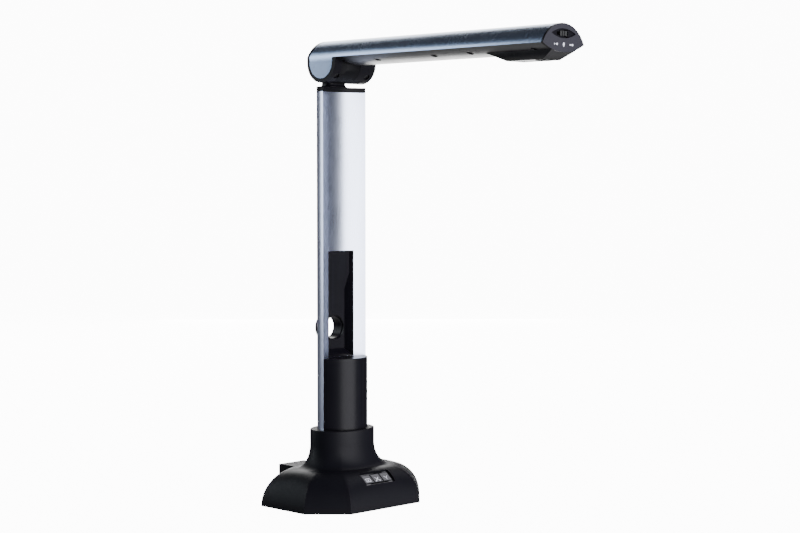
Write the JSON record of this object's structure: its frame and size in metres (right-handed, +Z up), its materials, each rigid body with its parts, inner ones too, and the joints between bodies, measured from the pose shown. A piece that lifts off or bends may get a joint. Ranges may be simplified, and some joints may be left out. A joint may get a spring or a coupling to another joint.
{
  "type": "document camera",
  "caption": "Folding document camera: weighted octagonal base with keys, aluminium column with a parking recess, and a hinged camera arm.",
  "frame": {"origin": "on the table under the centre of the octagonal base, at the underside of the feet, 1 mm below the mount base_underside", "axes": "+Z up along the column; the arm points to -Y, the rear port to +Y; +X is the object's left seen from its front"},
  "size_m": [0.1204, 0.2783, 0.3516],
  "materials": {
    "black_shell": "fine moulded texture",
    "black_trim": "satin",
    "gloss_black": "polished",
    "keys": "polished",
    "end_cap": "satin",
    "column_metal": "satin anodised, silver",
    "arm_metal": "anodised, blue-grey",
    "steel": "plain",
    "brass": "plain",
    "board": "solder resist",
    "led_board": "white solder resist",
    "rubber": "matt",
    "cable": "soft sleeve",
    "white_core": "moulded",
    "lens_black": "matt",
    "glass": "coated",
    "leds": "resin",
    "diffuser": "frosted"
  },
  "bodies": {
    "root": {"base_shell": "black_shell", "base_plate": "black_shell", "ballast_plate": "steel", "base_feet": "rubber", "base_screws": "steel", "column_screws": "steel", "main_board": "board", "board_screws": "brass", "rear_port_cover": "black_shell", "usb_shell": "steel", "usb_core": "white_core", "key_bezel": "gloss_black", "key_board": "board", "tact_switches": "steel", "column_extrusion": "column_metal", "column_insert": "black_trim", "view_port_ring": "black_trim", "front_sleeve": "black_trim", "column_cable": "cable", "hinge_bracket": "black_trim", "cap_screws": "steel"},
    "arm": {"hinge_shaft": "steel", "friction_washers": "brass", "hinge_nut": "steel", "arm_yoke": "black_trim", "yoke_screws": "steel", "arm_shell": "arm_metal", "arm_cover": "black_trim", "arm_screws": "steel", "arm_cable": "cable", "lens_pod": "black_trim", "lens_ring": "gloss_black", "lens_glass": "glass", "lens_barrel": "lens_black", "lens_holder": "lens_black", "image_sensor": "lens_black", "camera_board": "board", "camera_screws": "brass", "led_board": "led_board", "leds": "leds", "led_diffuser": "diffuser", "end_cap": "end_cap", "switch_board": "board", "switch_body": "steel"},
    "light_switch": {"light_slider": "end_cap"},
    "key_left": {"key_left": "keys"},
    "key_middle": {"key_middle": "keys"},
    "key_right": {"key_right": "keys"}
  },
  "joints": [
    {"name": "arm_fold", "type": "hinge", "parent": "root", "child": "arm", "pos_m": [0, -0.0006, 0.3345], "axis": [1, 0, 0], "range_deg": [0, 90]},
    {"name": "light_switch_slide", "type": "slide", "parent": "arm", "child": "light_switch", "axis": [1, 0, 0], "range_m": [-0.003, 0.003]},
    {"name": "key_left_press", "type": "slide", "parent": "root", "child": "key_left", "axis": [0, 0.6252, -0.7804], "range_m": [0, 0.0006], "stiffness_N_per_m": 800},
    {"name": "key_middle_press", "type": "slide", "parent": "root", "child": "key_middle", "axis": [0, 0.6252, -0.7804], "range_m": [0, 0.0006], "stiffness_N_per_m": 800},
    {"name": "key_right_press", "type": "slide", "parent": "root", "child": "key_right", "axis": [0, 0.6252, -0.7804], "range_m": [0, 0.0006], "stiffness_N_per_m": 800}
  ]
}
